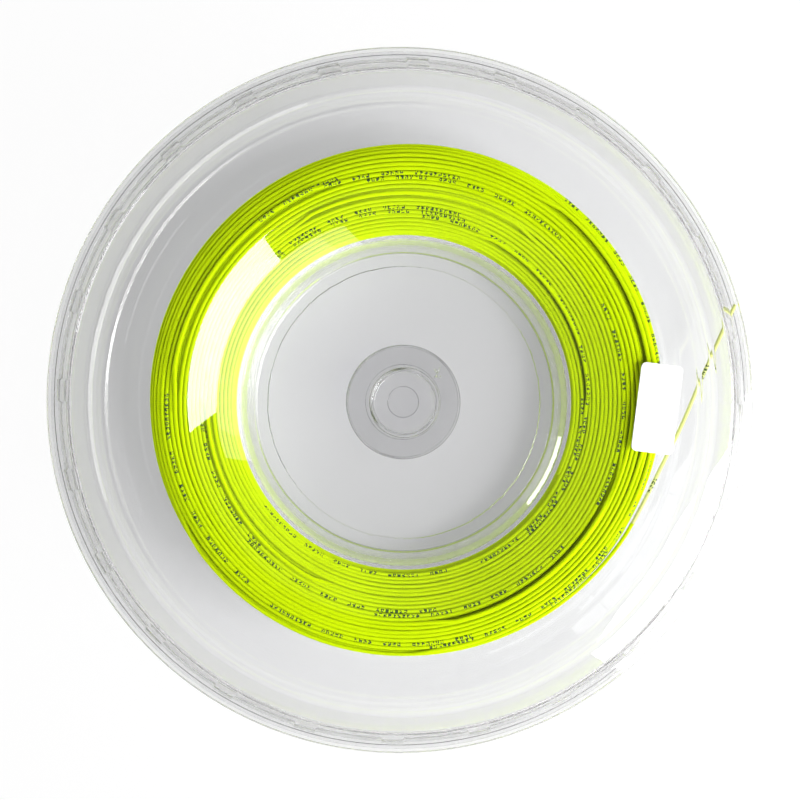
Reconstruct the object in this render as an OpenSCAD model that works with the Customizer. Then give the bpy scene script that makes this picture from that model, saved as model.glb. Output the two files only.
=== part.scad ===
/* [Reel] */
// Outer diameter of both rims
rim_d = 225; // [200:1:260]
// Inside width of the string chamber, between the two flanges
chamber_w = 28; // [20:0.5:40]
// Gap between the two lips, where the string is pulled out
slit_w = 1.5; // [1.4:0.1:3]
// Wall of both mouldings
wall_t = 1.2; // [0.8:0.1:1.6]

/* [Rim] */
// Width of the flat lip round the rim
lip_w = 3.5; // [2.5:0.1:5]
// Width of the bead on the lip's edge
bead_w = 1; // [0.6:0.1:1.6]
// Height of the bead on the lip's edge
bead_h = 0.35; // [0.2:0.05:0.8]
// How far the rim wall leans in from the lip to the crown
wall_lean = 7.4; // [4:0.1:10]
// Width of the raised crown that the reel rests on
crown_w = 6.2; // [4:0.1:8]
// Rounding of the crown's outer edge
crown_round = 1.6; // [0.8:0.1:2.4]
// Height of the crown above the shelf beside it
crown_h = 0.8; // [0.4:0.1:1.6]
// Width of the shelf between crown and flange
shelf_w = 4.6; // [3:0.1:7]
// Height of the shelf above the flange
shelf_h = 0.5; // [0.3:0.1:1]
// Slant of each step, measured along the radius
step_slant = 0.5; // [0.3:0.1:1]

/* [Rim ribs] */
// Number of short ribs on each rim wall
rib_count = 24; // [12:1:36]
// Width of a rib round the rim
rib_w = 6.3; // [3:0.1:10]
// How far a rib stands out from the wall
rib_out = 0.7; // [0.4:0.1:1.2]
// Drop of a rib's top below the crown
rib_drop = 0.15; // [0.1:0.05:0.4]
// Turn of the first rib's middle from +X, in degrees
rib_turn = 12.9; // [0:0.1:15]

/* [Hub] */
// Outer diameter of the hub tube that carries the winding
hub_d = 106; // [90:0.2:114]
// Width of the dished zone of the front flange, outside the hub tube
dish_w = 17; // [12:0.1:19]
// Depth of the dish at the cup's mouth, below the flange
dish_h = 8.4; // [6:0.1:9.5]
// How far the cup's wall leans in from its mouth to its foot
cup_draft = 3.2; // [1:0.1:5]
// Depth of the front cup below its mouth
cup_depth = 5.1; // [4:0.1:6.5]
// Rounding at the cup's mouth
cup_mouth_round = 1; // [0.5:0.1:2]
// Rounding at the foot of the cup's wall
cup_foot_round = 1.6; // [0.8:0.1:2.4]
// Width of the ledge between the cup's rounded foot and the sunk middle of its floor
ledge_w = 1.9; // [1:0.1:6]
// Depth of the sunk middle
sunk_h = 0.3; // [0.1:0.1:0.6]

/* [Centre lock] */
// Outer diameter of the front shell's hollow stud
stud_d = 22.2; // [16:0.2:26]
// Height of the stud's end above the rear web's inner face
stud_end = 2; // [1:0.5:3]
// Rounding at the stud's mouth
stud_mouth_round = 0.9; // [0.4:0.1:1.2]
// Diameter of the gate mark in the stud's floor
gate_d = 10.3; // [5:0.1:12]
// Depth of the gate mark
gate_h = 0.2; // [0.1:0.1:0.4]
// Outer diameter of the rear shell's socket boss
boss_d = 37.8; // [32:0.2:44]
// Height of the socket boss above the rear web's inner face
boss_h = 5; // [4:0.5:7]

/* [String] */
// Diameter of the string
string_d = 1.24; // [1.1:0.01:1.35]
// Height of the winding above the hub tube, to the middle of its outer turns
wound_h = 25.2; // [20:0.1:28]
// Rounding of the winding's shoulder, to the middle of its turns
shoulder_r = 3; // [2.5:0.1:5]
// Pitch of the winding's outer turns, over its front and its outside
turn_pitch = 2.05; // [1.8:0.05:4]
// Share of a turn in which the last turn climbs onto the turns below it
climb_share = 0.25; // [0.15:0.05:0.4]

/* [Label] */
// Width of the label
label_w = 13; // [8:0.5:20]
// Length of the label
label_l = 27.5; // [20:0.5:35]
// Thickness of the label
label_t = 0.2; // [0.1:0.05:0.4]
// Corner radius of the label
label_round = 1.6; // [0.5:0.1:3]
// Gap between the label and the step up to the shelf
label_gap = 6.5; // [3:0.1:12]
// Turn of the label's middle round the reel, in degrees
label_turn = -1.1; // [-90:0.1:90]
// Lean of the label, clockwise from the front, in degrees
label_lean = 6.9; // [0:0.1:15]

/* [Fits] */
// Radial gap between the front cup and the hub tube
cup_gap = 0.3; // [0.3:0.05:0.6]
// Gap between the hub tube's end and the front flange
seat_gap = 0.1; // [0.05:0.05:0.3]
// Radial gap of the stud in its socket
lock_gap = 0.08; // [0.04:0.01:0.1]
// Play of the winding between the two flanges, on each side
wound_play = 0.25; // [0.25:0.05:0.6]
// Radial gap between the winding and the hub tube
hub_play = 0.2; // [0.1:0.05:0.4]
// How deep the outer turns lie in the turns below them
turn_sink = 0.25; // [0.1:0.05:0.4]
// Gap between the last turn, which crosses back to the front, and the turns that it crosses
cross_gap = 0.5; // [0.45:0.05:1]

/* [Hidden] */
$fn = 96;

clear_plastic = [0.86, 0.88, 0.9, 0.45];
lime = [0.78, 0.9, 0.05];

// Shell sections are drawn as [radius, height above the parting plane].
rim_r = rim_d / 2;
lip_low = slit_w / 2;
lip_top = lip_low + wall_t;
flange_low = chamber_w / 2;
flange_top = flange_low + wall_t;
shelf_top = flange_top + shelf_h;
crown_top = shelf_top + crown_h;
foot_r = rim_r - lip_w;
crown_r = foot_r - wall_lean;
step_r = crown_r - crown_w;
shelf_r = step_r - shelf_w;
wall_slope = wall_lean / (crown_top - lip_top);
wall_angle = atan(wall_slope);
// Radius of the rim wall's outside and inside at a height above the parting plane.
function wall_out(height) = foot_r - wall_slope * (height - lip_top);
function wall_in(height) = wall_out(height) - wall_t / cos(wall_angle);
// The inside of a step sits further out than its outside, by this much.
step_shift = wall_t / 2;
parting_z = crown_top;

hub_r = hub_d / 2;
hub_bore_r = hub_r - wall_t;
cup_out_r = hub_bore_r - cup_gap;
cup_in_r = cup_out_r - wall_t;
cup_foot_r = cup_in_r - cup_draft;
sunk_r = cup_foot_r - cup_foot_round - ledge_w;
dish_r = hub_r + dish_w;
mouth_top = flange_top - dish_h;
dish_angle = atan(dish_h / (dish_r - cup_in_r - cup_mouth_round));
// Height of a line that lies a depth below the dished flange, at a radius.
function below_dish(r, depth) =
    flange_top - depth - tan(dish_angle) * max(0, dish_r + depth * tan(dish_angle / 2) - r);
floor_top = mouth_top - cup_depth;
floor_low = floor_top - sunk_h - wall_t;
stud_out_r = stud_d / 2;
stud_in_r = stud_out_r - wall_t;
stud_low = stud_end - flange_low;
stud_floor = stud_low + wall_t;
socket_r = stud_out_r + lock_gap;
socket_out_r = socket_r + wall_t;
boss_r = boss_d / 2;
boss_top = flange_low - boss_h;

string_r = string_d / 2;
wound_r = hub_r + wound_h;
cross_r = wound_r + string_d + cross_gap;
label_r = shelf_r - step_slant - label_gap - label_w / 2;
// Middle of the turns that lie next to the front and the rear flange
face_z = parting_z + flange_low - wound_play - string_r;
rear_z = parting_z - flange_low + wound_play + string_r;
rings_per_turn = 24;
// The middle of a straight stretch between two rings lies nearer the axis than its ends, by this factor.
ring_inset = cos(180 / rings_per_turn);
face_start_r = (hub_r + hub_play + string_r) / ring_inset;
// The turns slope along the dish up to here, and lie flat outside it.
turn_depth = wall_t + wound_play + string_r;
face_edge_r = (dish_r + turn_depth * tan(dish_angle / 2)) / ring_inset;
turn_sides = 6;
tail_sides = 8;
tail_step = 2.5 * string_d;

// Route of the free end, from the last turn to the slit between the lips.
tail_points = [
    [71, -37.6, 27], [73.4, -33.3, 26.8], [75.8, -29, 26.3], [82.2, -17.6, 24.1], [88.5, -6.3, 21.9],
    [94.2, 5.4, 19.7], [99.3, 15.5, 17.9], [104, 25, 16.5], [107.4, 31.8, 16.5]
];
tail_start = tail_points[0];

// Points on an arc about a middle, from one angle to another.
function arc(middle, r, from, to, steps = 5) =
    [for (i = [0:steps]) let (at = from + (to - from) * i / steps) middle + r * [cos(at), sin(at)]];

function unit(v) = v / norm(v);

// Outside of a shell from its flange to the rim.
function outside() = concat(
    [[shelf_r - step_slant, flange_top], [shelf_r, shelf_top],
     [step_r - step_slant, shelf_top], [step_r, crown_top]],
    arc([crown_r - crown_round, crown_top - crown_round], crown_round, 90, wall_angle),
    [[foot_r, lip_top], [rim_r - bead_w - bead_h, lip_top], [rim_r - bead_w, lip_top + bead_h],
     [rim_r, lip_top + bead_h], [rim_r, lip_low]]);

// Chamber side of a shell, from the rim back to its flange.
function inside() = [
    [wall_in(lip_low), lip_low], [wall_in(crown_top - wall_t), crown_top - wall_t],
    [step_r + step_shift, crown_top - wall_t], [step_r + step_shift - step_slant, shelf_top - wall_t],
    [shelf_r + step_shift, shelf_top - wall_t], [shelf_r + step_shift - step_slant, flange_low]];

// One short rib on the rim wall, from the lip up over the crown's rounded edge.
module rim_rib() {
    rib_angle = 2 * asin(rib_w / 2 / foot_r);
    root_low = lip_top - wall_t / 2;
    root_high = crown_top - wall_t / 2;
    bend = [crown_r - crown_round, crown_top - crown_round] + [rib_out, -rib_drop];
    rotate([0, 0, -rib_angle / 2])
        rotate_extrude(angle = rib_angle)
            polygon(concat(
                [[crown_r - crown_round, root_high], [crown_r - crown_round, crown_top - rib_drop]],
                arc(bend, crown_round, 90, wall_angle),
                [[foot_r + rib_out, lip_top], [foot_r + rib_out, root_low],
                 [wall_out(root_low) - wall_t / 2, root_low],
                 [wall_out(root_high) - wall_t / 2, root_high]]));
}

module rim_ribs() {
    for (i = [0:rib_count - 1])
        rotate([0, 0, rib_turn + i * 360 / rib_count])
            rim_rib();
}

// Rear moulding: flange, rim, hub tube, web and the socket boss in the middle.
module rear_shell() {
    section = concat(
        outside(),
        inside(),
        [[hub_r, flange_low], [hub_r, seat_gap - below_dish(hub_r, wall_t)],
         [hub_bore_r, seat_gap - below_dish(hub_bore_r, wall_t)],
         [hub_bore_r, flange_low], [boss_r, flange_low], [boss_r, boss_top], [socket_r, boss_top],
         [socket_r, flange_low], [socket_out_r, flange_low], [socket_out_r, boss_top + wall_t],
         [boss_r - wall_t, boss_top + wall_t], [boss_r - wall_t, flange_top]]);
    color(clear_plastic)
        translate([0, 0, parting_z])
            mirror([0, 0, 1]) {
                rotate_extrude()
                    polygon(section);
                rim_ribs();
            }
}

// Front moulding: rim, flange dished towards the hub, and the cup whose stud locks into the rear socket.
module front_shell() {
    wall_foot_z = floor_top + cup_foot_round;
    cup_angle = atan2(cup_in_r - cup_foot_r, mouth_top - cup_mouth_round - wall_foot_z);
    stud_bend = [stud_in_r + stud_mouth_round, floor_top - sunk_h - stud_mouth_round];
    foot_bend = [cup_foot_r - cup_foot_round, wall_foot_z];
    mouth_bend = [cup_in_r + cup_mouth_round, mouth_top - cup_mouth_round];
    front = concat(
        [[0, stud_floor - gate_h], [gate_d / 2, stud_floor - gate_h], [gate_d / 2, stud_floor],
         [stud_in_r, stud_floor]],
        arc(stud_bend, stud_mouth_round, 180, 90),
        [[sunk_r - sunk_h, floor_top - sunk_h], [sunk_r, floor_top]],
        arc(foot_bend, cup_foot_round, -90, -cup_angle),
        arc(mouth_bend, cup_mouth_round, 180 - cup_angle, 90 + dish_angle),
        [[dish_r, flange_top]]);
    back = [
        [dish_r + wall_t * tan(dish_angle / 2), flange_low], [cup_out_r, below_dish(cup_out_r, wall_t)],
        [cup_out_r, mouth_top - 2 * cup_mouth_round - wall_t],
        [cup_foot_r + wall_t, floor_low + cup_foot_round], [cup_foot_r + wall_t - cup_foot_round, floor_low],
        [stud_out_r, floor_low], [stud_out_r, stud_low], [0, stud_low]];
    color(clear_plastic)
        translate([0, 0, parting_z]) {
            rotate_extrude()
                polygon(concat(front, outside(), inside(), back));
            rim_ribs();
        }
}

// Blank paper label stuck on the front flange.
module label() {
    color("white")
        rotate([0, 0, label_turn])
            translate([label_r, 0, parting_z + flange_top])
                rotate([0, 0, -label_turn - label_lean])
                    linear_extrude(label_t) {
                        square([label_w - 2 * label_round, label_l], center = true);
                        square([label_w, label_l - 2 * label_round], center = true);
                        for (x = [-1, 1], y = [-1, 1])
                            translate([x * (label_w / 2 - label_round), y * (label_l / 2 - label_round)])
                                circle(label_round);
                    }
}

// Inner layers of the winding, as one plain ring.
module string_core() {
    core_r = wound_r * ring_inset - string_r + turn_sink;
    core_round = shoulder_r - string_r + turn_sink;
    low = parting_z - flange_low + wound_play;
    high = face_z - string_r + turn_sink;
    in_r = hub_r + hub_play;
    edge_r = face_edge_r + (string_r - turn_sink) * tan(dish_angle / 2);
    color(lime)
        rotate_extrude()
            polygon(concat([[in_r, low]],
                           arc([core_r - core_round, low + core_round], core_round, -90, 0),
                           arc([core_r - core_round, high - core_round], core_round, 0, 90),
                           [[edge_r, high], [in_r, high - (edge_r - in_r) * tan(dish_angle)]]));
}

// Place of the winding's tube after a length along its section: out over the front, then back.
slope_run = (face_edge_r - face_start_r) / cos(dish_angle);
face_run = slope_run + wound_r - shoulder_r - face_edge_r;
bend_run = shoulder_r * PI / 2;
side_run = face_z - rear_z - 2 * shoulder_r;
layer_run = face_run + bend_run + side_run;
layer_turns = round(layer_run / turn_pitch);
function layer_place(run) =
    run < slope_run ?
        [face_edge_r, face_z] - (slope_run - run) * [cos(dish_angle), sin(dish_angle)] :
    run < face_run ? [face_edge_r + run - slope_run, face_z] :
    run < face_run + bend_run ?
        let (bend = 90 - (run - face_run) / shoulder_r * 180 / PI)
        [wound_r - shoulder_r, face_z - shoulder_r] + shoulder_r * [cos(bend), sin(bend)] :
        [wound_r, face_z - shoulder_r - (run - face_run - bend_run)];

// Place of the last turn: it climbs onto the turns below it, then crosses back to the front.
function cross_place(share) =
    let (climb = min(1, share / climb_share),
         back = max(0, (share - climb_share) / (1 - climb_share)),
         low = rear_z + shoulder_r)
    [wound_r + (cross_r - wound_r) * climb, low + (tail_start.z - low) * back];

// The outer turns wind anticlockwise seen from the front, and end where the free end begins.
function turns_path() =
    let (layer_rings = layer_turns * rings_per_turn,
         rings = layer_rings + rings_per_turn,
         end_turn = atan2(tail_start.y, tail_start.x),
         lead = unit(tail_points[1] - tail_start) * string_d,
         wound = [for (i = [0:rings - 1])
             let (place = i < layer_rings ? layer_place(layer_run * i / layer_rings)
                                          : cross_place((i - layer_rings) / rings_per_turn),
                  turn = end_turn - (rings - i) * 360 / rings_per_turn)
             [place.x * cos(turn), place.x * sin(turn), place.y]],
         start = wound[0] - unit(wound[1] - wound[0]) * string_d)
    concat([start], wound, [tail_start - lead, tail_start]);

// Least distance between stretches of a path more than half a turn apart, less the tube.
function least_gap(path) =
    let (halves = [for (i = [0:len(path) - 2]) each [path[i], (path[i] + path[i + 1]) / 2]],
         apart = rings_per_turn,
         last = len(halves) - 1)
    min([for (i = [0:last - apart], j = [i + apart:last]) norm(halves[i] - halves[j])]) - string_d;

// Direction of a path at one of its points.
function heading(path, i) = unit(path[min(i + 1, len(path) - 1)] - path[max(i - 1, 0)]);

// Round tube along a path that never runs upright.
module tube(path, r, sides) {
    last = len(path) - 1;
    points = [for (i = [0:last])
        let (ahead = heading(path, i), across = unit(cross(ahead, [0, 0, 1])), up = cross(across, ahead))
        for (k = [0:sides - 1])
            path[i] + r * (cos(360 * k / sides) * across + sin(360 * k / sides) * up)];
    walls = [for (i = [0:last - 1], k = [0:sides - 1])
        let (a = i * sides + k, b = i * sides + (k + 1) % sides, c = a + sides, d = b + sides)
        each [[a, c, b], [b, c, d]]];
    caps = [for (k = [1:sides - 2]) each [[0, k, k + 1],
                                          [last * sides, last * sides + k + 1, last * sides + k]]];
    polyhedron(points, concat(walls, caps), convexity = 10);
}

// Outer layer of turns over the front and the outside of the winding, as one unbroken tube.
module string_turns() {
    path = turns_path();
    echo("least gap between turns, mm", least_gap(path));
    color(lime)
        tube(path, string_r, turn_sides);
}

// Free end, drawn tight from the last turn through the slit between the lips.
module string_tail() {
    path = concat(
        [for (i = [0:len(tail_points) - 2])
            let (from = tail_points[i], to = tail_points[i + 1], steps = ceil(norm(to - from) / tail_step))
            for (k = [0:steps - 1])
                from + (to - from) * k / steps],
        [tail_points[len(tail_points) - 1]]);
    color(lime)
        tube(path, string_r, tail_sides);
}

rear_shell();
front_shell();
label();
string_core();
string_turns();
string_tail();
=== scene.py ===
from math import atan2, ceil, cos, degrees, pi, radians, sin, tan, tau

import bpy
import numpy as np
from mathutils import Matrix, Vector


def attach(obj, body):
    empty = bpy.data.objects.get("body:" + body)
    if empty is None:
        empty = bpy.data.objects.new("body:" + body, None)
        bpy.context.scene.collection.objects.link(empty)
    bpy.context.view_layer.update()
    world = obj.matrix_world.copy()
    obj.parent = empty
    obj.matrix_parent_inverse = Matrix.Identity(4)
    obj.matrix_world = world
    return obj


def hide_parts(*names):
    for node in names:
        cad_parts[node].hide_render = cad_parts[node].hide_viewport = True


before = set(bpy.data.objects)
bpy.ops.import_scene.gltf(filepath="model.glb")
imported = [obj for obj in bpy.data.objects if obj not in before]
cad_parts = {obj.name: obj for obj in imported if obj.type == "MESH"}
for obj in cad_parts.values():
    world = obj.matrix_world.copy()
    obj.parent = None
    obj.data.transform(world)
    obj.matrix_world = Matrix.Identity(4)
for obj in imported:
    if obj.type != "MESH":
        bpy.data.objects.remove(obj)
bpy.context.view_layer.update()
mm = 0.001
scene = bpy.context.scene

camera = {
    "place": (-11.7, 6.3, 316.2),  # mm, straight above and a little to the left
    "aim": (0, 0, 16.5),  # middle of the parting plane
    "lens": 42.07,
    "sensor": 36,
    "shift": (-0.0055, 0.0033),  # sets the reel a little to the right and low
    "near": 0.01,  # metres
}


def addCamera():
    lens = bpy.data.cameras.new("camera")
    lens.lens = camera["lens"]
    lens.sensor_width = camera["sensor"]
    lens.shift_x, lens.shift_y = camera["shift"]
    lens.clip_start = camera["near"]
    body = bpy.data.objects.new("camera", lens)
    scene.collection.objects.link(body)
    place = Vector(camera["place"]) * mm
    back = (place - Vector(camera["aim"]) * mm).normalized()
    right = (Vector((1, 0, 0)) - back * back.x).normalized()
    up = back.cross(right)
    body.matrix_world = Matrix(
        (
            (right.x, up.x, back.x, place.x),
            (right.y, up.y, back.y, place.y),
            (right.z, up.z, back.z, place.z),
            (0, 0, 0, 1),
        )
    )
    scene.camera = body


addCamera()
print("camera placed")


def newObject(name, verts, faces, body, materials):
    mesh = bpy.data.meshes.new(name)
    mesh.from_pydata([tuple(float(c) for c in v) for v in verts], [], faces)
    mesh.polygons.foreach_set("use_smooth", [True] * len(mesh.polygons))
    for material in materials:
        mesh.materials.append(material)
    piece = bpy.data.objects.new(name, mesh)
    scene.collection.objects.link(piece)
    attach(piece, body)
    return piece


def addNode(tree, kind, **values):
    made = tree.nodes.new(kind)
    for key, value in values.items():
        made.inputs[key].default_value = value
    return made


def newMaterial(name):
    made = bpy.data.materials.new(name)
    made.use_nodes = True
    tree = made.node_tree
    tree.nodes.clear()
    out = tree.nodes.new("ShaderNodeOutputMaterial")
    where = tree.nodes.new("ShaderNodeTexCoord")
    return made, tree, out, where.outputs["Object"]


def addNoise(tree, where, scale, detail):
    noise = addNode(tree, "ShaderNodeTexNoise", Scale=scale, Detail=detail)
    tree.links.new(where, noise.inputs["Vector"])
    return noise.outputs["Fac"]


def addBump(tree, skin, height, strength, distance):
    bump = addNode(tree, "ShaderNodeBump", Strength=strength, Distance=distance)
    tree.links.new(height, bump.inputs["Height"])
    tree.links.new(bump.outputs["Normal"], skin.inputs["Normal"])


def addBlend(tree, skin, share, low, high):
    mix = tree.nodes.new("ShaderNodeMix")
    mix.data_type = "RGBA"
    mix.inputs["A"].default_value = low
    mix.inputs["B"].default_value = high
    tree.links.new(share, mix.inputs["Factor"])
    tree.links.new(mix.outputs["Result"], skin.inputs["Base Color"])


def addMix(tree, share, first, second):
    mix = tree.nodes.new("ShaderNodeMixShader")
    tree.links.new(share, mix.inputs["Fac"])
    tree.links.new(first, mix.inputs[1])
    tree.links.new(second, mix.inputs[2])
    return mix.outputs["Shader"]


# in the looks, a pair is a noise's scale and detail, or a bump's strength and its height in metres
clearPlastic = {
    "tint": (0.97, 0.971, 0.976, 1),
    "coat": 0.0,
    "index": 1.48,
    "roughness": 0.015,
    "shadowTint": (0.985, 0.986, 0.988, 1),  # for each surface that a lamp's light passes
    "waves": (60, 2),
    "waveBump": (0.35, 0.000004),
}

# the steep walls bend light less than the flanges do, so that they don't mottle
wallPlastic = {**clearPlastic, "index": 1.25, "roughness": 0.05, "coat": 1.0}

# the crown's darker tint is painted shade
shadedCrownPlastic = {**clearPlastic, "tint": (0.9, 0.901, 0.905, 1)}

shadedBossPlastic = {  # the stud and its socket boss, with a greyer tint that is painted shade for where their walls lie close together
    "tint": (0.75, 0.75, 0.757, 1),
    "coat": 1.0,
    "index": 1.2,
    "roughness": 0.02,
    "shadowTint": (0.93, 0.93, 0.94, 1),
    "waves": (900, 2),
    "waveBump": (0.35, 0.00001),
}

paintedEdgeShade = {**shadedBossPlastic, "tint": (0.33, 0.33, 0.34, 1)}  # dark tint painted as thin shade lines where an edge shows

plasticLooks = {  # in the order of the shells' material slots
    "clearPlastic": clearPlastic,
    "shadedBossPlastic": shadedBossPlastic,
    "wallPlastic": wallPlastic,
    "paintedEdgeShade": paintedEdgeShade,
    "shadedCrownPlastic": shadedCrownPlastic,
}


def makePlastic(name, look):
    made, tree, out, where = newMaterial(name)
    rays = tree.nodes.new("ShaderNodeLightPath")
    clear = addNode(tree, "ShaderNodeBsdfTransparent", Color=look["shadowTint"])
    glass = addNode(tree, "ShaderNodeBsdfPrincipled", IOR=look["index"], Roughness=look["roughness"])
    glass.inputs["Base Color"].default_value = look["tint"]
    glass.inputs["Transmission Weight"].default_value = 1
    glass.inputs["Coat Weight"].default_value = look["coat"]
    addBump(tree, glass, addNoise(tree, where, *look["waves"]), *look["waveBump"])
    # lamps and bounced light pass straight through, so that what lies behind the plastic is lit
    glass, clear = glass.outputs["BSDF"], clear.outputs["BSDF"]
    bounced = addMix(tree, rays.outputs["Is Diffuse Ray"], glass, clear)
    lit = addMix(tree, rays.outputs["Is Shadow Ray"], bounced, clear)
    tree.links.new(lit, out.inputs["Surface"])
    return made


limeString = {
    "bright": (0.735, 0.98, 0.002, 1),
    "deep": (0.6, 0.86, 0.001, 1),
    "clouds": (45, 3),
    "grain": (2600, 2),
    "grainBump": (0.15, 0.00002),
    "roughness": 0.4,
    "index": 1.05,  # low, as most of its shine is lost behind the plastic
    "bounce": (0.55, 0.58, 0.52, 1),  # what bounced light sees, so that the plastic stays grey
}

paintedGlareString = {**limeString, "bright": (0.94, 0.98, 0.4, 1), "deep": (0.87, 0.94, 0.28, 1)}  # free end: a paler copy of the lime, which is painted glare washing it out


def makeString(name, look):
    made, tree, out, where = newMaterial(name)
    skin = addNode(tree, "ShaderNodeBsdfPrincipled", IOR=look["index"], Roughness=look["roughness"])
    addBlend(tree, skin, addNoise(tree, where, *look["clouds"]), look["deep"], look["bright"])
    addBump(tree, skin, addNoise(tree, where, *look["grain"]), *look["grainBump"])
    grey = addNode(tree, "ShaderNodeBsdfDiffuse", Color=look["bounce"])
    rays = tree.nodes.new("ShaderNodeLightPath")
    shader = addMix(tree, rays.outputs["Is Diffuse Ray"], skin.outputs["BSDF"], grey.outputs["BSDF"])
    tree.links.new(shader, out.inputs["Surface"])
    return made


printInk = {
    "dark": (0.005, 0.03, 0.005, 1),
    "worn": (0.03, 0.1, 0.005, 1),
    "wear": (1500, 3),
    "roughness": 0.6,
}


def makePrintInk():
    made, tree, out, where = newMaterial("printInk")
    skin = addNode(tree, "ShaderNodeBsdfPrincipled", Roughness=printInk["roughness"])
    addBlend(tree, skin, addNoise(tree, where, *printInk["wear"]), printInk["dark"], printInk["worn"])
    tree.links.new(skin.outputs["BSDF"], out.inputs["Surface"])
    return made


labelPaper = {
    "face": (0.95, 0.95, 0.95, 1),
    "shade": (0.91, 0.91, 0.91, 1),
    "fibres": (900, 5),
    "fibreBump": (0.2, 0.00003),
    "roughness": 0.55,
}


def makeLabelPaper():
    made, tree, out, where = newMaterial("labelPaper")
    skin = addNode(tree, "ShaderNodeBsdfPrincipled", Roughness=labelPaper["roughness"])
    fibres = addNoise(tree, where, *labelPaper["fibres"])
    addBlend(tree, skin, fibres, labelPaper["shade"], labelPaper["face"])
    addBump(tree, skin, fibres, *labelPaper["fibreBump"])
    tree.links.new(skin.outputs["BSDF"], out.inputs["Surface"])
    return made


plastics = [makePlastic(name, look) for name, look in plasticLooks.items()]
stringMaterial = makeString("limeString", limeString)
glaredTailMaterial = makeString("paintedGlareString", paintedGlareString)
inkMaterial = makePrintInk()
paperMaterial = makeLabelPaper()
print("materials made")

string = {"radius": 0.62, "sides": 12, "hiddenSides": 8}  # mm

printMarks = {  # mm along the string; plain specks in groups, not letters
    "groups": (10, 5, 4, 4, 7, 4),
    "cell": 1.45,
    "stroke": 0.32,
    "strokes": 3,  # in one cell
    "sides": (1, 2, 3, 4),  # of the string, that a speck may lie on
    "cover": 0.62,
    "groupGap": 3.2,
    "first": 0.7,  # turns, as are the next three
    "every": 1.13,
    "wander": 0.08,
    "lastPlain": 1.3,
    "seed": 21,
}
markRandom = np.random.default_rng(printMarks["seed"])


def markStretches():
    # start, end and inked sides of each speck in one set of marks, from the set's start
    m = printMarks
    at, specks = 0, []
    for group in m["groups"]:
        for cell in range(group):
            for k in range(m["strokes"]):
                sides = tuple(side for side in m["sides"] if markRandom.random() < m["cover"])
                specks.append((at + k * m["stroke"], at + (k + 1) * m["stroke"], sides))
            at += m["cell"]
        at += m["groupGap"]
    return specks


def tubeMesh(path, radius, sides, inked):
    # closed round tube; inked gives the sides that carry print on each stretch
    path = np.asarray(path, float)
    ahead = np.gradient(path, axis=0)
    ahead /= np.linalg.norm(ahead, axis=1)[:, None]
    across = np.cross(ahead, [0, 0, 1])
    across /= np.linalg.norm(across, axis=1)[:, None]
    up = np.cross(across, ahead)
    turn = np.arange(sides) * tau / sides
    ring = np.cos(turn)[None, :, None] * across[:, None] + np.sin(turn)[None, :, None] * up[:, None]
    verts = (path[:, None] + radius * ring).reshape(-1, 3)
    faces, inkFaces = [], []
    for i in range(len(path) - 1):
        a = i * sides
        for k in range(sides):
            n = (k + 1) % sides
            if k in inked.get(i, ()):
                inkFaces.append(len(faces))
            faces.append((a + k, a + n, a + sides + n, a + sides + k))
    faces.append(tuple(reversed(range(sides))))
    last = (len(path) - 1) * sides
    faces.append(tuple(last + k for k in range(sides)))
    return verts, faces, inkFaces


def inkStretches(stops, specks):
    # which stretch between two stops carries which inked sides
    tiny = 1e-9  # a speck's ends are stops themselves
    inked = {}
    starts = np.searchsorted(stops, [a + tiny for a, b, sides in specks]) - 1
    ends = np.searchsorted(stops, [b - tiny for a, b, sides in specks])
    for (a, b, sides), first, last in zip(specks, starts, ends):
        for i in range(first, last):
            inked[i] = sides
    return inked


def addTube(name, path, sides, inked=None, skin=stringMaterial):
    verts, faces, inkFaces = tubeMesh(path, string["radius"] * mm, sides, inked or {})
    piece = newObject(name, verts, faces, "rear_half", [skin, inkMaterial])
    for i in inkFaces:
        piece.data.polygons[i].material_index = 1
    return piece


freeEnd = {
    "route": [  # metres, from the last turn to the slit between the lips
        (0.071, -0.0376, 0.027),
        (0.0734, -0.0333, 0.0268),
        (0.0758, -0.029, 0.0263),
        (0.0822, -0.0176, 0.0241),
        (0.0885, -0.0063, 0.0219),
        (0.0942, 0.0054, 0.0197),
        (0.0993, 0.0155, 0.0179),
        (0.104, 0.025, 0.0165),
        (0.1074, 0.0318, 0.0165),
    ],
    "steps": 6,  # points between two knots
    "marksAt": (11, 52),  # mm along it
    "marked": 5,  # mm of print at each
}


def smoothRoute(knots, steps):
    # curve through all the knots
    knots = np.array(knots)
    ends = np.vstack([2 * knots[0] - knots[1], knots, 2 * knots[-1] - knots[-2]])
    points = []
    for a, b, c, d in zip(ends, ends[1:], ends[2:], ends[3:]):
        bend = 2 * a - 5 * b + 4 * c - d
        swing = 3 * b - a - 3 * c + d
        for t in np.arange(steps) / steps:
            points.append(0.5 * (2 * b + (c - a) * t + bend * t**2 + swing * t**3))
    points.append(knots[-1])
    return np.array(points)


def addFreeEnd():
    points = smoothRoute(freeEnd["route"], freeEnd["steps"])
    run = np.concatenate([[0], np.cumsum(np.linalg.norm(np.diff(points, axis=0), axis=1))])
    specks = []
    for start in freeEnd["marksAt"]:
        for a, b, sides in markStretches():
            if b < freeEnd["marked"]:
                specks.append(((start + a) * mm, (start + b) * mm, sides))
    stops = np.unique(np.concatenate([run, [v for speck in specks for v in speck[:2]]]))
    path = np.stack([np.interp(stops, run, points[:, k]) for k in range(3)], 1)
    inked = inkStretches(stops, specks)
    # the free end takes the paler copy of the lime, which is painted glare
    piece = addTube("stringTail", path, string["sides"], inked, glaredTailMaterial)
    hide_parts("string_tail")
    print("free end", round(float(run[-1]), 4), "m")


addFreeEnd()

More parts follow.
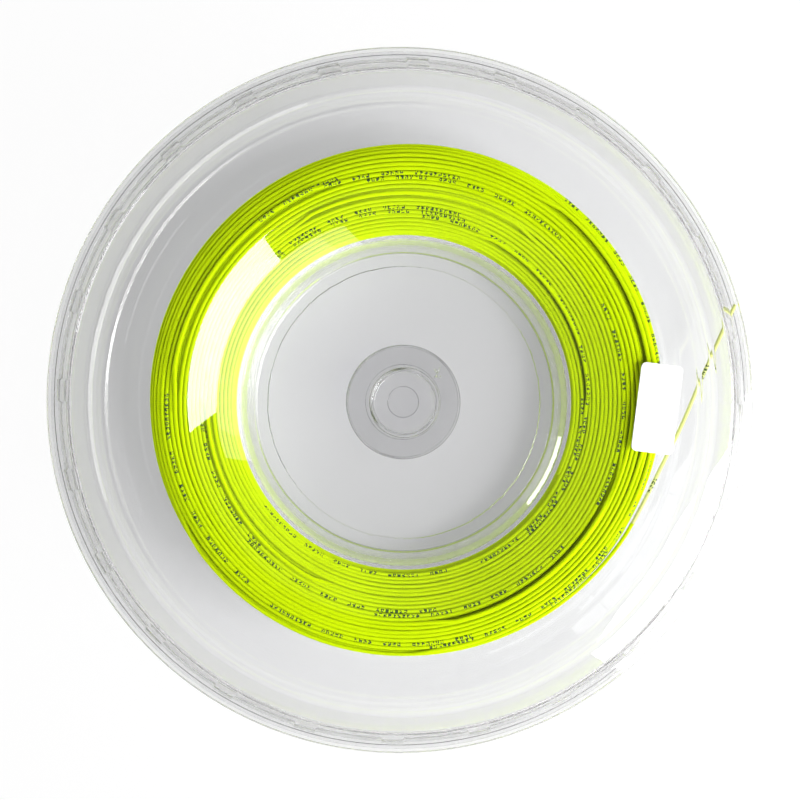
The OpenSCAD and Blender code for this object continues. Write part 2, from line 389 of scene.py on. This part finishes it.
reel = {  # mm; heights count from the parting plane
    "parting": 16.5,
    "rimR": 112.5,
    "rimRound": 0.25,
    "lipLow": 0.75,
    "lipTop": 1.95,
    "beadW": 1.0,
    "beadH": 0.35,
    "beadRound": 0.12,
    "footR": 109,
    "footRound": 0.35,
    "footInR": 108.2,
    "footInRound": 0.5,
    "crownR": 101.3,
    "crownRound": 1.8,
    "crownInR": 100.8,
    "crownInRound": 0.9,
    "crownTop": 16.5,
    "stepR": 95.4,
    "shelfR": 90.8,
    "shelfTop": 15.7,
    "flangeTop": 15.2,
    "flangeLow": 14,
    "wall": 1.2,
    # widths of the flange's and the crown's step, their rounding, and how much further out
    # the inside of a step sits than its outside
    "frontStep": (0.8, 1.0, 0.6, 0.7),
    "rearStep": (1.6, 1.6, 1.2, 0.25),
    "crownLook": 0.8,  # past the step, where the crown's plastic starts
    "wallLook": 0.7,  # past the crown's edge, where the wall's starts
    "ribCount": 24,
    "ribTurn": 12.9,  # degrees, as are the next two
    "ribHalf": 1.65,
    "ribRamp": 0.5,
    "ribSlope": ((0, 1), (0.3, 0.88), (0.7, 0.12), (1, 0)),  # share of the ramp and of the height
    "ribOut": 0.45,
    "ribGap": 10,  # columns between two ribs
    "raggedSeed": 5,
}

fillet = {
    "step": 14,  # degrees between two points
    "reach": 0.46,  # share of a corner's sides that a rounding may take
    # beside each rounding a narrow strip, which keeps the sides flat where light falls on them
    "strip": 0.05,
    "stripOfSide": 0.02,
    "stripOfRadius": 0.3,  # at most
}


def roundCorners(corners):
    # outline of (r, height, rib share) from corners of (r, height, rounding, rib share)
    outline = []
    for i, (r, h, rounding, rib) in enumerate(corners):
        if rounding == 0:
            outline.append((r, h, rib))
            continue
        here = Vector((r, h))
        toBefore = Vector(corners[i - 1][:2]) - here
        toAfter = Vector(corners[(i + 1) % len(corners)][:2]) - here
        angle = toBefore.angle(toAfter)
        turn = pi - angle
        most = fillet["reach"]
        reach = min(rounding * tan(turn / 2), most * toBefore.length, most * toAfter.length)
        radius = reach / tan(turn / 2)
        start = here + toBefore.normalized() * reach
        end = here + toAfter.normalized() * reach
        inwards = (toBefore.normalized() + toAfter.normalized()).normalized()
        middle = here + inwards * (radius / sin(angle / 2))
        steps = max(2, ceil(degrees(turn) / fillet["step"]))
        strip = fillet["stripOfSide"] * min(toBefore.length, toAfter.length) + fillet["strip"]
        strip = min(fillet["stripOfRadius"] * radius, strip)
        outline.append((*(start + toBefore.normalized() * strip), rib))
        a, b = start - middle, end - middle
        spin = atan2(a.x * b.y - a.y * b.x, a.dot(b))
        for k in range(steps + 1):
            t = spin * k / steps
            x = middle.x + a.x * cos(t) - a.y * sin(t)
            outline.append((x, middle.y + a.x * sin(t) + a.y * cos(t), rib))
        outline.append((*(end + toAfter.normalized() * strip), rib))
    return outline


def latheAngles():
    # angles round the reel, closer together at each rib's two ends, with the rib's share at each
    count = reel["ribCount"]
    pitch = 360 / count
    half, ramp = reel["ribHalf"], reel["ribRamp"]
    edge = [(half + a * ramp, share) for a, share in reel["ribSlope"]]
    one = [(-a, share) for a, share in reversed(edge)] + [(0, 1)] + edge
    spare = pitch - 2 * (half + ramp)
    gap = reel["ribGap"]
    one += [(half + ramp + spare * k / gap, 0) for k in range(1, gap)]
    turns = [reel["ribTurn"] + pitch * i for i in range(count)]
    return [(radians(turn + a), share) for turn in turns for a, share in one]


raggedEdge = np.random.default_rng(reel["raggedSeed"]).uniform(-1, 1, len(latheAngles()))


def setLooks(piece, *bands):
    # gives the faces between two radii another plastic, a later band over an earlier one
    slots = list(plasticLooks)
    for look, low, high in bands:
        for face in piece.data.polygons:
            if low * mm < Vector(face.center[:2]).length < high * mm:
                face.material_index = slots.index(look)


def latheShell(name, outline, side, closedAtAxis, body):
    # turns an outline of (r, height, rib share); side is 1 for the front shell, -1 for the rear
    # a rib share below 0 is how ragged the outline is there, in mm
    angles = latheAngles()
    verts, rows = [], []
    for r, h, rib in outline:
        z = (reel["parting"] + side * h) * mm
        if r == 0:
            rows.append([len(verts)])
            verts.append((0, 0, z))
            continue
        rows.append(list(range(len(verts), len(verts) + len(angles))))
        for (a, share), rough in zip(angles, raggedEdge):
            out = (r + (rib * share * reel["ribOut"] if rib > 0 else -rib * rough)) * mm
            verts.append((out * cos(a), out * sin(a), z))
    faces = []
    pairs = list(zip(rows, rows[1:])) + ([] if closedAtAxis else [(rows[-1], rows[0])])
    for low, high in pairs:
        for i in range(len(angles)):
            n = (i + 1) % len(angles)
            if len(low) == 1:
                faces.append((low[0], high[i], high[n]))
            elif len(high) == 1:
                faces.append((low[i], high[0], low[n]))
            else:
                faces.append((low[i], high[i], high[n], low[n]))
    if side < 0:
        faces = [f[::-1] for f in faces]
    piece = newObject(name, verts, faces, body, plastics)
    setLooks(piece, ("wallPlastic", reel["crownR"] + reel["wallLook"], reel["rimR"]))
    return piece


def rimOutside(step):
    r = reel
    flangeStep, crownStep, rounding = step[:3]
    beadTop = r["lipTop"] + r["beadH"]
    return [
        (r["shelfR"] - flangeStep, r["flangeTop"], rounding, 0),
        (r["shelfR"], r["shelfTop"], rounding, 0),
        (r["stepR"] - crownStep, r["shelfTop"], rounding, 0),
        (r["stepR"], r["crownTop"], rounding, 0),
        (r["crownR"], r["crownTop"], r["crownRound"], 0),
        (r["footR"], r["lipTop"], r["footRound"], 1),
        (r["rimR"] - r["beadW"] - r["beadH"], r["lipTop"], r["beadRound"], 0),
        (r["rimR"] - r["beadW"], beadTop, r["beadRound"], 0),
        (r["rimR"], beadTop, r["rimRound"], 0),
        (r["rimR"], r["lipLow"], r["rimRound"], 0),
    ]


def rimInside(step):
    r = reel
    flangeStep, crownStep, rounding, shift = step
    stepIn, shelfIn = r["stepR"] + shift, r["shelfR"] + shift
    crownIn, shelfTopIn = r["crownTop"] - r["wall"], r["shelfTop"] - r["wall"]
    return [
        (r["footInR"], r["lipLow"], r["footInRound"], 0),
        (r["crownInR"], crownIn, r["crownInRound"], 0),
        (stepIn, crownIn, rounding, 0),
        (stepIn - crownStep, shelfTopIn, rounding, 0),
        (shelfIn, shelfTopIn, rounding, 0),
        (shelfIn - flangeStep, r["flangeLow"], rounding, 0),
    ]


dish = {  # mm
    "r": 69.5,
    "rIn": 69.76,
    "round": 14,
    "middleR": 58.2,  # the slope breaks here
    "middleH": 9.8,
    "middleIn": (0.5, 1.06),  # walls that its inside lies further out and lower
    "middleRound": 0.6,
    "mouthR": 51.0,
    "mouthH": 5.65,
}

cup = {  # mm
    "outR": 51.5,
    "outTop": 4.5,
    "outRound": 0.4,
    "footR": 47.1,
    "footRound": 1.6,
    "footOutR": 47.6,
    "mouthRound": 1.0,
    "floorTop": 1.7,
    "sunk": 0.3,
    "sunkR": 43.6,
    "sunkRound": 0.12,
    "sunkRough": 0.13,  # the edge of the sunk floor is a little ragged
    "studOutR": 11.1,
    "studInR": 9.9,
    "studLow": -12,
    "studFloor": -10.8,
    "studMouthRound": 0.9,
    "studFloorRound": 0.7,
    "gateR": 5.15,
    "gate": 0.3,
    "gateRound": 0.14,
    "edge": 0.2,  # of the thin dark lines painted as edge shade
    "studEdge": 0.3,  # past the stud's bore, where its line starts
    "studLook": 0.1,  # past the stud, where its plastic ends
    "wallLook": (0.4, 0.5),  # past the sunk floor and short of the mouth, the wall's plastic
    "ripples": 6,  # faint rings round the cup's wall
    "rippleLow": (0.6, 1.3),  # where they start, out and up from the foot
    "rippleHigh": (0.9, 1.2),  # where they end, in and down from the mouth
    "rippleH": 0.08,
    "rippleRound": 0.3,
}

burr = {  # mm
    "radius": 0.22,
    "sides": 8,
    "strands": (
        ((9.6, 8.0, 1.45), (10.3, 8.9, 1.9), (10.2, 9.9, 2.2), (9.5, 10.7, 2.1)),
        ((10.2, 9.4, 2.1), (10.9, 10.2, 2.4), (11.2, 11.2, 2.2)),
        ((9.9, 8.4, 1.7), (10.9, 8.1, 2.0), (11.6, 8.5, 1.9)),
    ),
}


def rippledWall():
    # points up the cup's wall, in turn a little in and out
    lowR, lowH = cup["rippleLow"]
    highR, highH = cup["rippleHigh"]
    r0, h0 = cup["footR"] + lowR, cup["floorTop"] + lowH
    r1, h1 = dish["mouthR"] - highR, dish["mouthH"] - highH
    run = Vector((r1 - r0, h1 - h0))
    side = Vector((-run.y, run.x)).normalized() * cup["rippleH"]
    count = cup["ripples"] * 2
    points = []
    for k in range(1, count):
        sway = 1 if k % 2 else -1
        t = k / count
        r, h = r0 + run.x * t + side.x * sway, h0 + run.y * t + side.y * sway
        points.append((r, h, cup["rippleRound"], 0))
    return points


def addBurr():
    # strands of plastic left where the cup's floor was trimmed
    verts, faces = [], []
    for strand in burr["strands"]:
        points = np.array([(x, y, reel["parting"] + h) for x, y, h in strand]) * mm
        tube, tubeFaces = tubeMesh(points, burr["radius"] * mm, burr["sides"], {})[:2]
        faces += [tuple(len(verts) + i for i in face) for face in tubeFaces]
        verts += [tuple(v) for v in tube]
    newObject("cupBurr", verts, faces, "front_half", plastics[:1])


def addFrontShell():
    c, wall = cup, reel["wall"]
    sunkTop = c["floorTop"] - c["sunk"]
    floorLow = sunkTop - wall
    gateTop = c["studFloor"] - c["gate"]
    out, down = dish["middleIn"]
    corners = [
        (0, gateTop, 0, 0),
        (c["gateR"], gateTop, c["gateRound"], 0),
        (c["gateR"], c["studFloor"], c["gateRound"], 0),
        (c["studInR"], c["studFloor"], c["studFloorRound"], 0),
        (c["studInR"], sunkTop, c["studMouthRound"], 0),
        (c["sunkR"] - c["sunk"], sunkTop, c["sunkRound"], -c["sunkRough"]),
        (c["sunkR"], c["floorTop"], c["sunkRound"], -c["sunkRough"]),
        (c["footR"], c["floorTop"], c["footRound"], 0),
        *rippledWall(),
        (dish["mouthR"], dish["mouthH"], c["mouthRound"], 0),
        (dish["middleR"], dish["middleH"], dish["middleRound"], 0),
        (dish["r"], reel["flangeTop"], dish["round"], 0),
        *rimOutside(reel["frontStep"]),
        *rimInside(reel["frontStep"]),
        (dish["rIn"], reel["flangeLow"], dish["round"], 0),
        (dish["middleR"] + wall * out, dish["middleH"] - wall * down, dish["middleRound"], 0),
        (c["outR"], c["outTop"], c["outRound"], 0),
        (c["footOutR"], floorLow + c["sunk"], c["footRound"] + wall, 0),
        (c["studOutR"], floorLow, c["outRound"], 0),
        (c["studOutR"], c["studLow"], c["outRound"], 0),
        (0, c["studLow"], 0, 0),
    ]
    piece = latheShell("frontShell", roundCorners(corners), 1, True, "front_half")
    studEdge = c["studInR"] + c["studEdge"]
    wallFrom, wallTo = c["wallLook"]
    setLooks(
        piece,
        # painted shade: the stud's greyer tint
        ("shadedBossPlastic", 0, c["studOutR"] + c["studLook"]),
        # painted shade: a thin dark line at the gate's edge
        ("paintedEdgeShade", c["gateR"] - c["edge"], c["gateR"] + c["edge"]),
        # painted shade: the crown's darker tint
        ("shadedCrownPlastic", reel["stepR"] + reel["crownLook"], reel["crownR"] + reel["wallLook"]),
        # painted shade: a thin dark line beside the stud's mouth
        ("paintedEdgeShade", studEdge, studEdge + c["edge"]),
        ("wallPlastic", c["sunkR"] + wallFrom, dish["mouthR"] - wallTo),
    )
    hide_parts("front_shell")


hub = {  # mm
    "r": 53.0,
    "bore": 51.8,
    "reach": 5.1,  # past the parting plane
    "bevel": 0.7,
    "endRound": 0.2,
    "footRound": 0.3,
    "webRound": 0.6,
}

boss = {  # mm
    "r": 18.9,
    "side": 0.6,
    "top": 9,
    "footRound": 0.4,
    "topRound": 0.5,
    "sideRound": 0.2,
    "edgeRound": 0.3,
    "socketR": 11.18,
    "socketOutR": 12.38,
    "socketRound": 0.15,
    "edge": 0.3,  # of the thin dark line painted as edge shade round the boss
    "look": 0.05,  # past the boss, where its plastic ends
}


def addRearShell():
    b, wall, web = boss, reel["wall"], reel["flangeLow"]
    sideIn = b["r"] - b["side"]
    corners = [
        *rimOutside(reel["rearStep"]),
        *rimInside(reel["rearStep"]),
        (hub["r"], web, hub["footRound"], 0),
        (hub["r"], -hub["reach"], hub["endRound"], 0),
        (hub["bore"], hub["bevel"] - hub["reach"], hub["endRound"], 0),
        (hub["bore"], web, hub["webRound"], 0),
        (b["r"], web, b["footRound"], 0),
        (b["r"], b["top"], b["topRound"], 0),
        (b["socketR"], b["top"], b["edgeRound"], 0),
        (b["socketR"], web, b["socketRound"], 0),
        (b["socketOutR"], web, b["socketRound"], 0),
        (b["socketOutR"], b["top"] + wall, b["edgeRound"], 0),
        (sideIn, b["top"] + wall, b["sideRound"], 0),
        (sideIn, reel["flangeTop"], b["edgeRound"], 0),
    ]
    piece = latheShell("rearShell", roundCorners(corners), -1, False, "rear_half")
    outside = b["r"] + b["look"]
    # painted shade: the boss's greyer tint and a thin dark line round it
    setLooks(piece, ("shadedBossPlastic", 0, outside), ("paintedEdgeShade", b["r"] - b["edge"], outside))
    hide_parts("rear_shell")


addFrontShell()
addBurr()
addRearShell()
print("shells made")

winding = {  # mm
    "slope": [(53.9, 21.1), (58.4, 23.7), (66.7, 27.7), (70.8, 28.9)],  # middle of the turns along the dish
    "outerR": 78.2,
    "shoulder": 4.6,
    "rearZ": 3.5,
    "rearShoulder": 1.6,
    "lineStep": 0.2,
    "lineBlur": 5,  # line steps
    "pitch": 1.255,
    "steps": 132,  # points in one turn
    "evenTurns": 2,  # at both ends of a layer
    "wave": 0.3,  # how far whole groups of turns wander in and out
    "waves": ((1, 0.13, 0, 0.6), (2, 0.3, 1, 0.3), (3, -0.2, 0, 0.2)),  # per turn, drift, start, share
    "jitter": 0.1,  # how far one turn wanders from its neighbours
    "jitterEvery": 0.25,  # turns
    "loose": (0.36, 6, 1.2),  # turns lie looser from this share of them, within so many, by so much
    "strays": ((3, 20), (6, 200), (9, 75), (12, 300), (14, 130), (17, 10), (19, 230)),  # turn, degrees
    "strayArc": 75,  # degrees over which a stray turn lies on its neighbour
    "strayShift": 0.78,  # pitches
    "straySteep": 3,  # the higher, the sharper it steps aside
    "press": 0.12,  # how far two turns flatten into each other
    "liftBlur": 0.025,  # turns
    "mostLift": 0.85,
    "bulge": 2.3,  # the outer turns stand out further on one side
    "bulgeAt": 38,  # degrees
    "bulgeNarrow": 0.75,  # the lower, the wider it is
    "fullBulge": 26,  # mm of the way over the winding at which it is whole
    "climb": 1.25,  # of the last turn, onto the turns below it
    "crossShare": 0.25,  # of the last turn, over which it climbs
    "seed": 7,
}
rng = np.random.default_rng(winding["seed"])
tailAngle = atan2(freeEnd["route"][0][1], freeEnd["route"][0][0])


def ease(t):
    return t * t * (3 - 2 * t)


def smoothNoise(count, spacing):
    # even random curve between about -1 and 1 with one random value every spacing points
    knots = rng.uniform(-1, 1, int(count / spacing) + 4)  # with a few to spare
    at = np.arange(count) / spacing
    i = at.astype(int)
    t = ease(at - i)
    return knots[i] * (1 - t) + knots[i + 1] * t


def blur(values, reach):
    kernel = np.exp(-0.5 * (np.arange(-3 * reach, 3 * reach + 1) / reach) ** 2)
    padded = np.pad(values, 3 * reach, mode="edge")
    return np.convolve(padded, kernel / kernel.sum(), mode="valid")


def evenEnds(at, turns):
    # 0 at both ends of a layer of turns, 1 between them
    even = winding["evenTurns"]
    return np.clip(at / even, 0, 1) * np.clip((turns - at) / even, 0, 1)


def woundSection():
    # line through the middle of the outer turns, as runs, places and outward directions
    w = winding
    top = w["slope"][-1][1]
    bend = [radians(9 * k) for k in range(11)]  # a quarter turn
    side = w["outerR"] - w["shoulder"]
    line = list(w["slope"])
    line += [(side + w["shoulder"] * sin(a), top - w["shoulder"] * (1 - cos(a))) for a in bend]
    line.append((w["outerR"], w["rearZ"] + w["rearShoulder"]))
    line = np.array(line)
    lengths = np.concatenate([[0], np.cumsum(np.hypot(*np.diff(line, axis=0).T))])
    run = np.arange(0, lengths[-1], w["lineStep"])
    r, z = (blur(np.interp(run, lengths, line[:, k]), w["lineBlur"]) for k in (0, 1))
    dr, dz = np.gradient(r), np.gradient(z)
    size = np.hypot(dr, dz)
    return run, r, z, -dz / size, dr / size


def bulgeOut(at, lastTurn, share):
    # how far turns stand out, from their turn and their share of the way over the winding
    w = winding
    angle = tailAngle + (at - lastTurn) * tau - radians(w["bulgeAt"])
    angle = (angle + pi) % tau - pi
    return w["bulge"] * share**2 * np.clip(np.cos(w["bulgeNarrow"] * angle), 0, 1) ** 2


def layTurns():
    # outer turns over the front, the shoulder and the side: radius, height and turn of each point
    w = winding
    run, r, z, outR, outZ = woundSection()
    turns = int(run[-1] / w["pitch"])
    steps = w["steps"]
    count = turns * steps
    at = np.arange(count) / steps
    angle = at * tau
    wave = sum(np.sin(n * angle + drift * at + start) * share for n, drift, start, share in w["waves"])
    looseFrom, looseOver, looser = w["loose"]
    loose = 1 + looser * np.clip((at - looseFrom * turns) / looseOver, 0, 1)
    jitter = w["jitter"] * loose * smoothNoise(count, steps * w["jitterEvery"])
    shift = evenEnds(at, turns) * (w["wave"] * wave + jitter)
    for turn, start in w["strays"]:
        offset = (at - turn - start / 360) * 360 / w["strayArc"]
        hump = np.clip(w["straySteep"] * np.sin(pi * np.clip(offset, 0, 1)), 0, 1) ** 2
        shift += w["strayShift"] * w["pitch"] * hump
    place = np.clip(w["pitch"] * at + shift, 0, run[-1])
    table = place.reshape(turns, steps)
    lift = np.zeros_like(table)
    reach = 2 * string["radius"] - w["press"]
    strayTurns = {turn for turn, start in w["strays"]}
    order = [k for k in rng.permutation(turns) if k not in strayTurns]
    order += sorted(strayTurns)
    done = []
    for k in order:  # each turn lies on the ones laid before it where they come too close
        for j in done:
            apart = np.abs(table[k] - table[j])
            over = lift[j] + np.sqrt(np.clip(reach**2 - apart**2, 0, None))
            lift[k] = np.where(apart < reach, np.maximum(lift[k], over), lift[k])
        done.append(k)
    lift = np.clip(blur(lift.ravel(), int(steps * w["liftBlur"])), 0, w["mostLift"])
    radius = np.interp(place, run, r) + lift * np.interp(place, run, outR)
    radius += bulgeOut(at, turns + 1, np.clip(place / w["fullBulge"], 0, 1))
    height = np.interp(place, run, z) + lift * np.interp(place, run, outZ)
    return radius, height, at


def crossingTurn(startTurn):
    # the last turn climbs onto the turns below it and crosses back to the front
    w = winding
    at = np.arange(1, w["steps"]) / w["steps"]
    climb = ease(np.clip(at / w["crossShare"], 0, 1))
    back = np.clip((at - w["crossShare"]) / (1 - w["crossShare"]), 0, 1)
    low = w["rearZ"] + w["rearShoulder"]
    high = freeEnd["route"][0][2] / mm
    radius = w["outerR"] + w["climb"] * climb + bulgeOut(at, 1, 1)
    return radius, low + (high - low) * back, startTurn + at


def placeTurns(radius, height, at, endAngle):
    # points in metres, wound anticlockwise and ending at endAngle
    angle = endAngle + (at - at[-1]) * tau
    return np.stack([radius * np.cos(angle), radius * np.sin(angle), height], 1) * mm


def printPlaces(radius, at):
    # start, end and inked sides of each speck, counted in turns
    m = printMarks
    marks = []
    for turn in np.arange(m["first"], at[-1] - m["lastPlain"], m["every"]):
        turn += markRandom.uniform(-m["wander"], m["wander"])
        perTurn = tau * float(np.interp(turn, at, radius))
        marks += [(turn + a / perTurn, turn + b / perTurn, sides) for a, b, sides in markStretches()]
    return marks


def addWinding():
    lay = layTurns()
    cross = crossingTurn(lay[2][-1])
    radius, height, at = (np.concatenate(parts) for parts in zip(lay, cross))
    marks = printPlaces(radius, at)
    stops = np.unique(np.concatenate([at, [v for mark in marks for v in mark[:2]]]))
    radius, height = np.interp(stops, at, radius), np.interp(stops, at, height)
    path = placeTurns(radius, height, stops, tailAngle - tau / winding["steps"])
    path = np.vstack([path, freeEnd["route"][0]])
    piece = addTube("windingTurns", path, string["sides"], inkStretches(stops, marks))
    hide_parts("string_turns")
    print("winding", len(path), "points", round(float(stops[-1]), 1), "turns")


underTurns = {  # the layer below the outer turns, seen in the gaps between them
    "share": 0.6,  # of the way over the winding
    "depth": 0.95,  # mm
    "start": 0.5,  # pitches
    "wander": 0.1,
    "every": 20,  # points
    "steps": 96,
    "endAngle": 0.4,
}


def addUnderTurns():
    u = underTurns
    run, r, z, outR, outZ = woundSection()
    turns = int(u["share"] * run[-1] / winding["pitch"])
    count = turns * u["steps"]
    at = np.arange(count) / u["steps"]
    place = winding["pitch"] * (at + u["start"]) + u["wander"] * smoothNoise(count, u["every"])
    radius = np.interp(place, run, r) - u["depth"] * np.interp(place, run, outR)
    height = np.interp(place, run, z) - u["depth"] * np.interp(place, run, outZ)
    addTube("windingUnder", placeTurns(radius, height, at, u["endAngle"]), string["hiddenSides"])


rearTurns = {  # over the rear of the winding, seen through the rear flange
    "wander": 0.15,
    "every": 30,  # points
    "steps": 96,
    "endAngle": 2.1,
}


def addRearTurns():
    w, rear = winding, rearTurns
    first = w["slope"][0][0]
    turns = int((w["outerR"] - w["rearShoulder"] - first) / w["pitch"])
    count = turns * rear["steps"]
    at = np.arange(count) / rear["steps"]
    wander = evenEnds(at, turns) * rear["wander"] * smoothNoise(count, rear["every"])
    radius = first + w["pitch"] * at + wander
    height = np.full(count, w["rearZ"])
    addTube("windingRear", placeTurns(radius, height, at, rear["endAngle"]), string["hiddenSides"])


core = {  # mm; plain inside of the winding, hidden under its turns
    "rise": 0.1,  # over the middle of the rear turns
    "inset": 0.5,  # inwards of the first turn
    "outset": 2,  # inwards of the outer turns
    "depth": 1.45,  # under the middle of the outer turns
    "every": 8,  # points of their line
    "sideGap": 1.5,
    "columns": 192,
}


def addWindingCore():
    w, depth = winding, core["depth"]
    r, z, outR, outZ = woundSection()[1:]
    low = w["rearZ"] + core["rise"]
    inner = w["slope"][0][0] - core["inset"]
    face = [(float(a - depth * c), float(b - depth * d)) for a, b, c, d in zip(r, z, outR, outZ)]
    face = face[:: core["every"]]
    outline = [(inner, low), (w["outerR"] - core["outset"], low)]
    outline += [p for p in reversed(face) if p[1] > low + core["sideGap"] and p[0] > inner]
    outline.append((inner, face[0][1]))
    columns = core["columns"]
    turns = [tau * i / columns for i in range(columns)]
    verts = [(a * mm * cos(t), a * mm * sin(t), h * mm) for a, h in outline for t in turns]
    faces = []
    for j in range(len(outline)):
        here, there = j * columns, (j + 1) % len(outline) * columns
        for i in range(columns):
            n = (i + 1) % columns
            faces.append((here + i, here + n, there + n, there + i))
    piece = newObject("windingCore", verts, faces, "rear_half", [stringMaterial])
    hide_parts("string_core")


addWinding()
addUnderTurns()
addRearTurns()
addWindingCore()
print("winding made")

label = {  # mm
    "middle": (77.29, -1.48),
    "width": 13,
    "length": 27.5,
    "corner": 1.6,
    "cornerSteps": 6,
    "lean": -6.9,  # degrees
    "low": 31.72,
    "thick": 0.18,
    "bevel": 0.05,
    "bevelFrom": 0.7,  # share of the thickness
}


def addLabel():
    size = label
    middleX, middleY = size["middle"]
    halfW, halfL = size["width"] / 2, size["length"] / 2
    outline = []
    for sx, sy, start in ((1, 1, 0), (-1, 1, 90), (-1, -1, 180), (1, -1, 270)):
        for k in range(size["cornerSteps"] + 1):
            a = radians(start + 90 * k / size["cornerSteps"])
            x = sx * (halfW - size["corner"]) + size["corner"] * cos(a)
            y = sy * (halfL - size["corner"]) + size["corner"] * sin(a)
            outline.append((x, y))
    turn = radians(size["lean"])
    top, shoulder = size["low"] + size["thick"], size["low"] + size["thick"] * size["bevelFrom"]
    verts = []
    for inset, h in ((0, size["low"]), (0, shoulder), (size["bevel"], top)):
        for x, y in outline:
            x -= inset * x / halfW
            y -= inset * y / halfL
            along = middleX + x * cos(turn) - y * sin(turn)
            aside = middleY + x * sin(turn) + y * cos(turn)
            verts.append((along * mm, aside * mm, h * mm))
    n = len(outline)
    faces = [tuple(reversed(range(n))), tuple(range(2 * n, 3 * n))]
    for row in range(2):
        for i in range(n):
            j = (i + 1) % n
            faces.append((row * n + i, row * n + j, (row + 1) * n + j, (row + 1) * n + i))
    piece = newObject("blankLabel", verts, faces, "front_half", [paperMaterial])
    piece.data.polygons.foreach_set("use_smooth", [False] * len(piece.data.polygons))
    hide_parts("label")


addLabel()
print("label made")

studio = {
    "plainWhite": (1, 1, 1, 1),
    "floorSize": 3,
    "floorZ": -0.0001,  # just clear of the reel
    "floorColour": (0.955, 0.95, 0.95, 1),
    "floorWhite": 0.92,  # share of plain white that the camera sees on the floor
    "floorWhiteBehind": 0.39,  # and through the plastic
    "horizonLight": 0.85,
    "horizonEdge": (0.2, 0.35),  # sines of the height between which it fades
    "roomLight": 0.13,
    "overheadLight": 0.03,  # the dark patch over the reel
    "overheadEdge": (0.76, 0.92),  # and the same for it
    "keyPlace": (0.331, -0.144, 0.5165),
    "keySize": (0.178, 0.3),
    "keyTurn": -34.1,  # degrees about Z
    "keyPower": 3.1,
    "sidePlace": (0.49, -0.25, 0.5),
    "sideSize": (1.0, 0.24),
    "sidePower": 2.5,
    "lowSize": (0.35, 0.12),
    "lowPlaces": (((0.6, -0.25, 0.2), 4.2), ((-0.62, 0.3, 0.14), 1.8)),  # with their power
}


def addFade(tree, edge, start, end):
    fade = tree.nodes.new("ShaderNodeMapRange")
    fade.inputs["From Min"].default_value, fade.inputs["From Max"].default_value = edge
    fade.inputs["To Min"].default_value = start
    fade.inputs["To Max"].default_value = end
    return fade


def addFloor():
    size = studio["floorSize"]
    corners = ((-size, -size), (size, -size), (size, size), (-size, size))
    mesh = bpy.data.meshes.new("floor")
    mesh.from_pydata([(x, y, studio["floorZ"]) for x, y in corners], [], [(0, 1, 2, 3)])
    made, tree, out = newMaterial("floorPaper")[:3]
    matt = addNode(tree, "ShaderNodeBsdfDiffuse", Color=studio["floorColour"])
    white = addNode(tree, "ShaderNodeEmission", Color=studio["plainWhite"], Strength=1.0)
    rays = tree.nodes.new("ShaderNodeLightPath")
    share = addFade(tree, (0, 1), studio["floorWhiteBehind"], studio["floorWhite"])
    tree.links.new(rays.outputs["Is Camera Ray"], share.inputs["Value"])
    shader = addMix(tree, share.outputs["Result"], matt.outputs["BSDF"], white.outputs["Emission"])
    tree.links.new(shader, out.inputs["Surface"])
    mesh.materials.append(made)
    piece = bpy.data.objects.new("floor", mesh)
    scene.collection.objects.link(piece)


def addRoom():
    # white for the camera, and for all else bright at the horizon and dark overhead
    world = bpy.data.worlds.new("paleRoom")
    scene.world = world
    world.use_nodes = True
    tree = world.node_tree
    tree.nodes.clear()
    link = tree.links.new
    out = tree.nodes.new("ShaderNodeOutputWorld")
    where = tree.nodes.new("ShaderNodeTexCoord")
    parts = tree.nodes.new("ShaderNodeSeparateXYZ")
    rays = tree.nodes.new("ShaderNodeLightPath")
    low = addFade(tree, studio["horizonEdge"], studio["horizonLight"], studio["roomLight"])
    high = addFade(tree, studio["overheadEdge"], studio["roomLight"], studio["overheadLight"])
    room = addNode(tree, "ShaderNodeBackground", Color=studio["plainWhite"])
    white = addNode(tree, "ShaderNodeBackground", Color=studio["plainWhite"], Strength=1.0)
    link(where.outputs["Generated"], parts.inputs[0])
    link(parts.outputs["Z"], low.inputs["Value"])
    link(parts.outputs["Z"], high.inputs["Value"])
    link(low.outputs["Result"], high.inputs["To Min"])
    link(high.outputs["Result"], room.inputs["Strength"])
    seen, unseen = white.outputs["Background"], room.outputs["Background"]
    link(addMix(tree, rays.outputs["Is Camera Ray"], unseen, seen), out.inputs["Surface"])


def addPanel(name, size, power, place):
    # faces the reel
    lamp = bpy.data.lights.new(name, "AREA")
    lamp.shape = "RECTANGLE"
    lamp.size, lamp.size_y = size
    lamp.energy = power
    body = bpy.data.objects.new(name, lamp)
    scene.collection.objects.link(body)
    body.location = place
    body.rotation_euler = body.location.to_track_quat("Z", "Y").to_euler()
    return body


def addLights():
    key = addPanel("keyLight", studio["keySize"], studio["keyPower"], studio["keyPlace"])
    key.rotation_euler = (0, 0, radians(studio["keyTurn"]))  # faces straight down
    addPanel("sideLight", studio["sideSize"], studio["sidePower"], studio["sidePlace"])
    for place, power in studio["lowPlaces"]:
        addPanel("lowLight", studio["lowSize"], power, place)


addFloor()
addRoom()
addLights()
scene.view_settings.view_transform = "Standard"
scene.cycles.sample_clamp_indirect = 2
scene.cycles.max_bounces = 24
scene.cycles.glossy_bounces = 16
scene.cycles.transmission_bounces = 24
scene.cycles.transparent_max_bounces = 32
print("stage lit")
